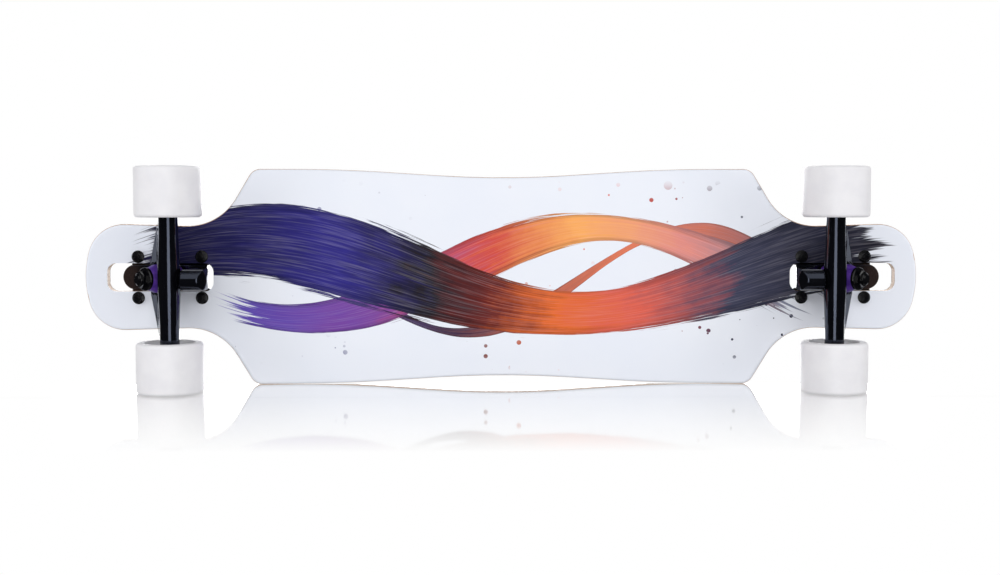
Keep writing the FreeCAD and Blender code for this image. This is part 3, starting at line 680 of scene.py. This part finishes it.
@dataclass(frozen=True, kw_only=True)
class Moulding(TwoTone):
    """A moulded plastic or rubber: cups, cages, seals and wheel cores."""

    cloud: Grain = Grain(160.0, 4.0, 0.6)
    cloud_band: Band = (0.35, 0.8)
    grain: Grain = Grain(2200.0)
    grain_band: Band = (0.25, 0.75)
    relief: Relief = (0.12, 0.0002)


@dataclass(frozen=True, kw_only=True)
class TurnedSteel(TwoTone):
    """Bright steel with fine lathe or grinding marks round the axle line."""

    cloud: Grain = Grain(240.0, 4.0, 0.6)
    cloud_band: Band = (0.4, 0.8)
    grain: Grain = Grain((120.0, 5200.0, 120.0), 3.0, 0.6)
    grain_band: Band = (0.25, 0.75)
    relief: Relief = (0.1, 0.00015)
    tone_share: Band = (0.0, 0.7)
    metal: float = 1.0


class Finishes:
    """Every finish, kept under the record's slot name."""

    def __init__(self) -> None:
        """Build the materials."""
        finishes = {
            "deck_ply": PrintedPly(),
            "grip_grit": GripGrit(),
            "truck_black": CastBlack(),
            "black_steel": BlackSteel(),
            "bushing_purple": PurpleUrethane(),
            "cup_plastic": Moulding(name="cup_plastic", base=srgb(50, 50, 54),
                                    tone=srgb(66, 66, 70), roughness=(0.4, 0.6)),
            "axle_steel": TurnedSteel(name="axle_steel", base=srgb(196, 196, 198),
                                      tone=srgb(158, 158, 160), roughness=(0.22, 0.4)),
            "bearing_steel": TurnedSteel(name="bearing_steel", base=srgb(206, 206, 208),
                                         tone=srgb(176, 176, 178), roughness=(0.12, 0.26)),
            "shield_black": Moulding(name="shield_black", base=srgb(30, 30, 32),
                                     tone=srgb(46, 46, 48), roughness=(0.5, 0.7)),
            "urethane_white": WhiteUrethane(),
            "core_white": Moulding(name="core_white", base=srgb(214, 214, 219),
                                   tone=srgb(226, 226, 230), roughness=(0.25, 0.4)),
        }
        self.by_slot = {slot: finish.make() for slot, finish in finishes.items()}

    def dress_nodes(self) -> None:
        """Give every CAD node the finish of its slot."""
        for part in frame["record"]["subparts"]:
            self.dress(frame["nodes"][part["node"]], part["material_slot"])

    def dress(self, piece: bpy.types.Object, slot: str) -> None:
        """Give a piece the finish of one slot."""
        piece.data.materials.clear()
        piece.data.materials.append(self.by_slot[slot])

    def declare(self, piece: bpy.types.Object, node: str, slot: str) -> None:
        """Dress a piece, let it stand for its CAD node and report it.

        Args:
            piece: The new piece.
            node: The CAD node that it stands for.
            slot: The record's slot name.
        """
        self.dress(piece, slot)
        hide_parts(node)
        LOG.info("%s stands for %s", piece.name, node)


class Bench:
    """Modelling with Blender's operators, one piece at a time."""

    smooth_angle = math.radians(50)
    sharp_angle = math.radians(35)
    flat_angle = math.radians(1)
    merge_reach = NEAR / 10
    normal_weight = 100
    soften_share = 0.5

    @staticmethod
    def hold(piece: bpy.types.Object) -> None:
        """Select one object alone and make it active."""
        bpy.ops.object.select_all(action="DESELECT")
        piece.select_set(True)
        bpy.context.view_layer.objects.active = piece

    @staticmethod
    def pick_edges(piece: bpy.types.Object, test: Callable[[Vector], bool]) -> None:
        """Select the edges whose two ends pass a test of their place."""
        bpy.ops.mesh.select_mode(type="EDGE")
        bpy.ops.mesh.select_all(action="DESELECT")
        mesh = bmesh.from_edit_mesh(piece.data)
        for edge in mesh.edges:
            edge.select_set(all(test(vertex.co) for vertex in edge.verts))
        bmesh.update_edit_mesh(piece.data)

    @staticmethod
    def on_ring(ring: Ring) -> Callable[[Vector], bool]:
        """A test for points on one ring round the Z axis."""
        radius, height = ring

        def test(place: Vector) -> bool:
            """Whether a point lies on the ring."""
            off = math.hypot(place.x, place.y) - radius
            return abs(off) < NEAR and abs(place.z - height) < NEAR

        return test

    @classmethod
    def turned(cls, name: str, outline: tuple[Ring, ...],
               rounds: tuple[tuple[Ring, float, int], ...], segments: int) -> bpy.types.Object:
        """Turn a closed outline round the Z axis, as on a lathe, and round its corners.

        Args:
            name: The object's name.
            outline: Radius and height of each ring, in order round the section.
            rounds: Ring, radius and steps of each rounded corner.
            segments: Sides round the axis.

        Returns:
            The new object, standing at the origin.
        """
        radius, height = outline[0]
        bpy.ops.object.select_all(action="DESELECT")
        bpy.ops.mesh.primitive_circle_add(vertices=segments, radius=radius, fill_type="NOTHING")
        piece = bpy.context.object
        piece.name = name
        piece.data.name = name
        bpy.ops.object.mode_set(mode="EDIT")
        bpy.ops.mesh.select_all(action="SELECT")
        bpy.ops.transform.translate(value=(0, 0, height))
        for (last_radius, last_height), (radius, height) in zip(outline, outline[1:]):
            rise = {"value": (0, 0, height - last_height)}
            bpy.ops.mesh.extrude_region_move(TRANSFORM_OT_translate=rise)
            growth = radius / last_radius
            bpy.ops.transform.resize(value=(growth, growth, 1), center_override=(0, 0, height))
        first, last = cls.on_ring(outline[0]), cls.on_ring(outline[-1])
        cls.pick_edges(piece, lambda place: first(place) or last(place))
        bpy.ops.mesh.bridge_edge_loops()
        for ring, offset, steps in rounds:
            cls.pick_edges(piece, cls.on_ring(ring))
            bpy.ops.mesh.bevel(offset=offset, segments=steps, affect="EDGES")
        bpy.ops.mesh.select_all(action="SELECT")
        bpy.ops.mesh.normals_make_consistent(inside=False)
        bpy.ops.object.mode_set(mode="OBJECT")
        bpy.ops.object.shade_smooth_by_angle(angle=cls.smooth_angle)
        return piece

    @staticmethod
    def copy(piece: bpy.types.Object, name: str, place: Matrix) -> bpy.types.Object:
        """Copy a piece with a mesh of its own.

        Args:
            piece: The piece to copy.
            name: The copy's name.
            place: Where the copy's mesh goes.

        Returns:
            The copy, with its place in its mesh.
        """
        twin = piece.copy()
        twin.data = piece.data.copy()
        twin.name = name
        twin.data.name = name
        twin.data.transform(place)
        bpy.context.scene.collection.objects.link(twin)
        return twin

    @classmethod
    def merged_copy(cls, node: str, name: str, flat: float = 0.0) -> bpy.types.Object:
        """Copy a CAD node's shape with its points merged.

        Args:
            node: The CAD node.
            name: The new object's name.
            flat: The angle below which two faces count as one flat face, or 0 to keep them all.

        Returns:
            The new object, held.
        """
        piece = bpy.data.objects.new(name, frame["nodes"][node].data.copy())
        piece.data.name = name
        bpy.context.scene.collection.objects.link(piece)
        cls.hold(piece)
        bpy.ops.object.mode_set(mode="EDIT")
        bpy.ops.mesh.select_all(action="SELECT")
        bpy.ops.mesh.remove_doubles(threshold=cls.merge_reach)
        if flat:
            bpy.ops.mesh.dissolve_limited(angle_limit=flat)
        bpy.ops.object.mode_set(mode="OBJECT")
        return piece

    @staticmethod
    def apply(piece: bpy.types.Object, kind: str, **settings: object) -> None:
        """Add a modifier to the held piece and apply it.

        Args:
            piece: The held piece.
            kind: The modifier's type.
            settings: Its properties.
        """
        modifier = piece.modifiers.new(kind.lower(), kind)
        for key, value in settings.items():
            setattr(modifier, key, value)
        bpy.ops.object.modifier_apply(modifier=modifier.name)

    @classmethod
    def eased_copy(cls, node: str, name: str, width: float, steps: int) -> bpy.types.Object:
        """Copy a CAD node's shape and round its sharp edges.

        Args:
            node: The CAD node.
            name: The new object's name.
            width: The rounding's width.
            steps: The rounding's steps.

        Returns:
            The new object.
        """
        piece = cls.merged_copy(node, name, cls.flat_angle)
        bpy.ops.object.shade_smooth()
        cls.apply(piece, "BEVEL", width=width, segments=steps, limit_method="ANGLE",
                  angle_limit=cls.sharp_angle)
        cls.apply(piece, "WEIGHTED_NORMAL", weight=cls.normal_weight)
        return piece

    @classmethod
    def cast_copy(cls, node: str, name: str, voxel: float, passes: int) -> bpy.types.Object:
        """Copy a CAD node's shape and soften its edges as a casting's are.

        Args:
            node: The CAD node.
            name: The new object's name.
            voxel: The grid of the new skin.
            passes: How often it is smoothed.

        Returns:
            The new object.
        """
        piece = cls.merged_copy(node, name)
        cls.apply(piece, "REMESH", mode="VOXEL", voxel_size=voxel)
        cls.apply(piece, "SMOOTH", factor=cls.soften_share, iterations=passes)
        bpy.ops.object.shade_smooth()
        return piece


@dataclass
class Board:
    """The deck and its grip sheet, which keep their CAD shapes."""

    body: str = "board"
    nodes: tuple[str, ...] = ("deck", "grip_tape")

    def build(self) -> None:
        """Report the nodes, which are dressed already."""
        for node in self.nodes:
            LOG.info("%s keeps its CAD shape on %s", node, self.body)


@dataclass
class Trucks:
    """The castings, the bushings and the small hardware of both trucks."""

    finishes: Finishes
    ring_out: float = 0.013
    ring_height: float = 0.058
    steer_angle: float = math.radians(41.7)
    ring_half: float = 0.005
    bushing_height: float = 0.014
    cone_radius: float = 0.014
    cone_small_radius: float = 0.0098
    cone_rim: float = 0.003
    cone_shares: tuple[float, ...] = (0.25, 0.5, 0.75)
    barrel_radius: float = 0.0125
    barrel_bulge: float = 0.0012
    barrel_shares: tuple[float, ...] = (0.2, 0.4, 0.6, 0.8)
    bore: float = 0.00485
    flared_bore: float = 0.0076
    rim_round: float = 0.0007
    rim_steps: int = 3
    shoulder_round: float = 0.0012
    shoulder_steps: int = 4
    segments: int = 64
    voxel: float = 0.00056
    passes: int = 12
    ease_width: float = 0.0004
    ease_steps: int = 3
    fixings: tuple[str, ...] = ("mounting_nuts", "mounting_washers", "mounting_bolts",
                                "kingpin_nut", "roadside_washer")

    @property
    def ring_centre(self) -> Vector:
        """The middle of the front hanger's ring."""
        return Vector((AXLE_X + self.ring_out, 0, self.ring_height))

    @property
    def kingpin(self) -> Vector:
        """The front kingpin's direction, outwards and down."""
        return Vector((math.sin(self.steer_angle), 0, -math.cos(self.steer_angle)))

    @property
    def bushing_top(self) -> float:
        """How far a bushing's outer face lies from the ring's middle."""
        return self.ring_half + self.bushing_height

    def bushing(self, name: str, sides: tuple[Ring, ...], rounds: dict[Ring, tuple[float, int]],
                ) -> bpy.types.Object:
        """A bushing round the Z axis, with a bore that flares towards the ring.

        Args:
            name: The object's name.
            sides: The rings of its outside, from the ring's face outwards.
            rounds: Radius and steps of the rounded corners between its ends.

        Returns:
            The new object, at the height that it has over the ring's middle.
        """
        low, top = self.ring_half, self.bushing_top
        outline = ((self.flared_bore, low), *sides, (self.bore, top),
                   (self.bore, (low + top) / 2))
        rim = (self.rim_round, self.rim_steps)
        corners = {sides[0]: rim, **rounds, sides[-1]: rim}
        return Bench.turned(name, outline, tuple((ring, *how) for ring, how in corners.items()),
                            self.segments)

    def cone(self) -> bpy.types.Object:
        """The roadside bushing: a cone on a straight rim."""
        low, top = self.ring_half, self.bushing_top
        shoulder = low + self.cone_rim
        slope = self.cone_radius - self.cone_small_radius
        flank = tuple((self.cone_radius - slope * share, shoulder + (top - shoulder) * share)
                      for share in self.cone_shares)
        turn = (self.cone_radius, shoulder)
        sides = ((self.cone_radius, low), turn, *flank, (self.cone_small_radius, top))
        rounds = {turn: (self.shoulder_round, self.shoulder_steps)}
        return self.bushing("cone_bushing", sides, rounds)

    def barrel(self) -> bpy.types.Object:
        """The boardside bushing: a slightly bulged barrel."""
        low, top = self.ring_half, self.bushing_top
        flank = tuple((self.barrel_radius + self.barrel_bulge * math.sin(math.pi * share),
                       low + self.bushing_height * share) for share in self.barrel_shares)
        sides = ((self.barrel_radius, low), *flank, (self.barrel_radius, top))
        return self.bushing("barrel_bushing", sides, {})

    def seat(self, model: bpy.types.Object, end: End, node: str, direction: Vector) -> None:
        """Copy a bushing to its place between the hanger and the board.

        Args:
            model: The bushing as modelled.
            end: Which truck.
            node: The CAD node's name without its end.
            direction: From the ring to the bushing, on the front truck.
        """
        name = f"{end.value}_{node}"
        upright = direction.to_track_quat("Z", "Y").to_matrix().to_4x4()
        stand = Matrix.Translation(self.ring_centre) @ upright
        piece = Bench.copy(model, f"{name}_soft", end.turn @ stand)
        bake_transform(piece)
        self.finishes.declare(piece, name, "bushing_purple")

    def cast(self, end: End, node: str, body: str) -> None:
        """Make one casting with soft edges, which moves with a body."""
        name = f"{end.value}_{node}"
        piece = Bench.cast_copy(name, f"{name}_cast", self.voxel, self.passes)
        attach(piece, body)
        self.finishes.declare(piece, name, "truck_black")

    def ease(self, end: End, node: str, body: str, slot: str) -> None:
        """Make one set of small hardware with eased edges.

        Args:
            end: Which truck.
            node: The CAD node's name without its end.
            body: The body it moves with.
            slot: The record's slot name.
        """
        name = f"{end.value}_{node}"
        piece = Bench.eased_copy(name, f"{name}_eased", self.ease_width, self.ease_steps)
        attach(piece, body)
        self.finishes.declare(piece, name, slot)

    def build(self) -> None:
        """Make the castings, hardware and bushings of both trucks."""
        cone, barrel = self.cone(), self.barrel()
        for end in End:
            hanger_set = f"{end.value}_hanger_set"
            self.cast(end, "baseplate", "board")
            self.cast(end, "hanger", hanger_set)
            for node in self.fixings:
                self.ease(end, node, "board", "black_steel")
            self.ease(end, "axle_nuts", hanger_set, "axle_steel")
            self.seat(cone, end, "roadside_bushing", self.kingpin)
            self.seat(barrel, end, "boardside_bushing", -self.kingpin)
        for model in (cone, barrel):
            bpy.data.objects.remove(model)


@dataclass
class Wheels:
    """The four white tyres."""

    finishes: Finishes
    offset: float = 0.0855
    height: float = 0.0325
    radius: float = 0.0325
    half_width: float = 0.02475
    corner: float = 0.0035
    corner_steps: int = 6
    lip_radius: float = 0.0245
    lip_depth: float = 0.003
    lip_round: float = 0.0011
    lip_steps: int = 3
    hub_radius: float = 0.018
    hub_half: float = 0.013
    segments: int = 128

    def tyre(self) -> bpy.types.Object:
        """One tyre round the Z axis, with rounded corners and a recess in both faces."""
        lip = self.half_width - self.lip_depth
        half = ((self.hub_radius, self.hub_half), (self.lip_radius, lip),
                (self.lip_radius, self.half_width), (self.radius, self.half_width))
        low = tuple((radius, -height) for radius, height in half)
        rounds = []
        for side in (-1, 1):
            edge = side * self.half_width
            rounds += [((self.radius, edge), self.corner, self.corner_steps),
                       ((self.lip_radius, edge), self.lip_round, self.lip_steps),
                       ((self.lip_radius, side * lip), self.lip_round, self.lip_steps)]
        return Bench.turned("tyre", (*low, *reversed(half)), tuple(rounds), self.segments)

    def build(self) -> None:
        """Model one tyre and put a copy on each wheel."""
        model = self.tyre()
        for end in End:
            for side in Side:
                wheel = f"{end.value}_{side.name.lower()}"
                x = AXLE_X if end is End.FRONT else -AXLE_X
                place = Matrix.Translation((x, side.value * self.offset, self.height))
                place = place @ Matrix.Rotation(math.pi / 2, 4, "X")
                piece = Bench.copy(model, f"{wheel}_tyre_cast", place)
                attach(piece, f"{wheel}_wheel")
                self.finishes.declare(piece, f"{wheel}_wheel_tyre", "urethane_white")
        bpy.data.objects.remove(model)


@dataclass
class Lamp:
    """One soft rectangular lamp aimed at a point."""

    name: str
    place: Triple
    aim: Triple
    width: float
    length: float
    power: float
    mirrored: bool = True

    def build(self) -> None:
        """Hang the lamp, its long side across the board."""
        light = bpy.data.lights.new(self.name, "AREA")
        light.shape = "RECTANGLE"
        light.size = self.width
        light.size_y = self.length
        light.energy = self.power
        lamp = bpy.data.objects.new(self.name, light)
        back = (Vector(self.place) - Vector(self.aim)).normalized()
        side = Vector((0, 1, 0)).cross(back).normalized()
        turn = Matrix((side, back.cross(side), back)).transposed().to_4x4()
        turn.translation = Vector(self.place)
        lamp.matrix_world = turn
        lamp.visible_glossy = self.mirrored
        bpy.context.scene.collection.objects.link(lamp)


@dataclass
class Backdrop:
    """The world: white to the eye and in upward reflections, dim behind the camera."""

    ambient: float = 0.46
    dim: float = 0.02
    bright: float = 1.0
    rise: float = 0.6

    def build(self) -> None:
        """Make the world, which gives every other ray a plain level of light."""
        world = bpy.data.worlds.new("studio_world")
        world.use_nodes = True
        bpy.context.scene.world = world
        graph = Graph(world.node_tree)
        graph.tree.nodes.remove(graph.tree.nodes["Background"])
        path = graph.add("LightPath").outputs
        towards = graph.add("TexCoord").outputs["Generated"]
        height = graph.add("SeparateXYZ", {0: towards}).outputs["Z"]
        upper = graph.math("GREATER_THAN", height, self.rise)
        mirrored = graph.math("MAXIMUM", path["Is Glossy Ray"], path["Is Transmission Ray"])
        seen = graph.math("MAXIMUM", path["Is Camera Ray"], mirrored)
        white = graph.math("MAXIMUM", path["Is Camera Ray"], upper)
        dim, bright, plain = (
            graph.add("Background", {"Color": WHITE, "Strength": strength}).outputs[0]
            for strength in (self.dim, self.bright, self.ambient))
        whole = graph.either(seen, plain, graph.either(white, dim, bright))
        graph.join(whole, graph.tree.nodes["World Output"].inputs["Surface"])


class StageSheet:
    """A flat stage sheet that only the camera sees, and only from its front."""

    @staticmethod
    def seen_from_front(graph: ShaderGraph) -> Socket:
        """1 where the camera looks at a surface's front, otherwise 0."""
        seen = graph.add("LightPath").outputs["Is Camera Ray"]
        back = graph.add("NewGeometry").outputs["Backfacing"]
        return graph.times(seen, graph.math("SUBTRACT", 1.0, back))

    @staticmethod
    def lay(name: str, corners: tuple[Triple, ...], material: bpy.types.Material) -> None:
        """Lay the sheet.

        Args:
            name: The sheet's name.
            corners: Its corners, counter-clockwise seen from its front.
            material: Its material.
        """
        mesh = bpy.data.meshes.new(name)
        mesh.from_pydata(corners, [], [tuple(range(len(corners)))])
        mesh.materials.append(material)
        sheet = bpy.data.objects.new(name, mesh)
        bpy.context.scene.collection.objects.link(sheet)


@dataclass
class RidingFloor(StageSheet):
    """The pale floor below the wheels, which fades out to the white backdrop."""

    half: float = 3.0
    fade: Band = (0.8, 2.6)
    pale: Colour = srgb(244, 244, 245)

    def build(self) -> None:
        """Lay the floor, seen from above only."""
        graph = ShaderGraph("riding_floor")
        x, y, _ = graph.axes()
        square = graph.math("ADD", graph.math("POWER", x, 2.0), graph.math("POWER", y, 2.0))
        near = graph.step(graph.math("SQRT", square), self.fade, FALL)
        clear = graph.add("BsdfTransparent").outputs[0]
        pale = graph.add("BsdfDiffuse", {"Color": self.pale}).outputs[0]
        graph.show(graph.either(graph.times(self.seen_from_front(graph), near), clear, pale))
        half = self.half
        corners = ((-half, -half, 0), (half, -half, 0), (half, half, 0), (-half, half, 0))
        self.lay("riding_floor", corners, graph.material)


@dataclass
class PhotoFloor(StageSheet):
    """The glossy floor beside the board's edge: nearly clear, with a reflection that fades out and
    a painted contact shadow near the board.

    It shows only to rays from below the riding floor, which pass through that floor to its upper
    part. It leans a little towards the deck, so that the deck's edge and the wheels touch it.
    """

    y: float = 0.1106
    lean: float = 0.0245
    half: float = 0.62
    low: float = -0.5
    high: float = 0.0835
    side_fade: float = 0.45
    reach: float = 0.26
    gloss_share: float = 0.8
    gloss_roughness: float = 0.05
    shade_reach: float = 0.03
    shade_samples: int = 8
    # Painted contact shadow colours, from fully occluded to open.
    shade: Stops = ((0.0, srgb(220, 215, 213)), (0.6, WHITE))
    shade_fade: Band = (0.0, 0.1)

    def build(self) -> None:
        """Lay the floor."""
        graph = ShaderGraph("photo_floor")
        x, _, z = graph.axes()
        sides = graph.step(graph.math("ABSOLUTE", x), (self.side_fade, self.half), FALL)
        away = graph.math("MULTIPLY_ADD", z, 1 / self.reach, 1.0, clamp=True)
        below = graph.math("LESS_THAN", z, 0.0)
        through = graph.add("LightPath").outputs["Transparent Depth"]
        through = graph.math("MINIMUM", through, 1.0)
        right_side = graph.math("ABSOLUTE", graph.math("SUBTRACT", below, through))
        seen = graph.times(sides, away, self.seen_from_front(graph), right_side)
        # Painted contact shadow: ambient occlusion tints the clear sheet darker near the board and
        # wheels.
        dark = graph.add("AmbientOcclusion", {"Distance": self.shade_reach},
                         samples=self.shade_samples).outputs["AO"]
        shaded = graph.add("BsdfTransparent", {"Color": graph.ramp(dark, self.shade)})
        gloss = graph.add("BsdfGlossy", {"Color": WHITE, "Roughness": self.gloss_roughness})
        plain = graph.add("BsdfTransparent").outputs[0]
        clear = graph.either(graph.step(seen, self.shade_fade), plain, shaded.outputs[0])
        graph.show(graph.either(graph.times(seen, self.gloss_share), clear, gloss.outputs[0]))
        near, far = (self.y - height * self.lean for height in (self.low, self.high))
        half, low, high = self.half, self.low, self.high
        corners = ((-half, near, low), (half, near, low), (half, far, high), (-half, far, high))
        self.lay("photo_floor", corners, graph.material)


@dataclass
class Studio:
    """World, floors and lamps."""

    middle: Triple = (0.0, 0.0, 0.05)
    side_reach: float = 1.6
    side_aim: float = 0.1

    def side_lamp(self, name: str, sign: int) -> Lamp:
        """A lamp beyond one end of the board, which no surface mirrors."""
        aim = (sign * self.side_aim, *self.middle[1:])
        return Lamp(name, place=(sign * self.side_reach, -0.1, -0.75), aim=aim, width=0.5,
                    length=1.6, power=9.4, mirrored=False)

    def lamps(self) -> tuple[Lamp, ...]:
        """The lamps: four below the board, where the camera is, and one above it."""
        return (
            Lamp("softbox_high", place=(0.0, -1.15, -1.25), aim=self.middle, width=2.4,
                 length=1.7, power=9.6),
            Lamp("softbox_key", place=(0.0, 0.1, -1.6), aim=self.middle, width=0.84,
                 length=1.2, power=6.6),
            self.side_lamp("softbox_tail", -1),
            self.side_lamp("softbox_nose", 1),
            Lamp("softbox_top", place=(0.0, -0.25, 1.75), aim=(0.0, 0.0, 0.09), width=1.9,
                 length=1.3, power=26.0),
        )

    def build(self) -> None:
        """Set up the studio."""
        for piece in (Backdrop(), RidingFloor(), PhotoFloor(), *self.lamps()):
            piece.build()


@dataclass
class Camera:
    """The photograph's viewpoint, below the board and near its middle."""

    focal_px: float = 1421.0
    frame_width_px: float = 1000.0
    sensor_mm: float = 36.0
    place: Triple = (-0.01945, -0.0776, -1.3486)
    pitch: float = math.radians(3.534)
    yaw: float = math.radians(0.686)

    def build(self) -> None:
        """Make the camera, with the photograph's up along -Y, and give it to the scene."""
        level = math.cos(self.pitch)
        forward = Vector((math.sin(self.yaw) * level, math.sin(self.pitch),
                          math.cos(self.yaw) * level))
        right = forward.cross(Vector((0, -1, 0))).normalized()
        up = right.cross(forward)
        lens = bpy.data.cameras.new("photo_camera")
        lens.sensor_width = self.sensor_mm
        lens.lens = self.sensor_mm * self.focal_px / self.frame_width_px
        camera = bpy.data.objects.new("photo_camera", lens)
        turn = Matrix((right, up, -forward)).transposed().to_4x4()
        turn.translation = Vector(self.place)
        camera.matrix_world = turn
        bpy.context.scene.collection.objects.link(camera)
        bpy.context.scene.camera = camera
        bpy.context.scene.view_settings.view_transform = "Standard"


def main() -> None:
    """Build the board's looks and the studio in order."""
    logging.basicConfig(level=logging.INFO, format="%(name)s: %(message)s")
    finishes = Finishes()
    finishes.dress_nodes()
    Board().build()
    Trucks(finishes).build()
    Wheels(finishes).build()
    Studio().build()
    Camera().build()


if __name__ == "__main__":
    main()
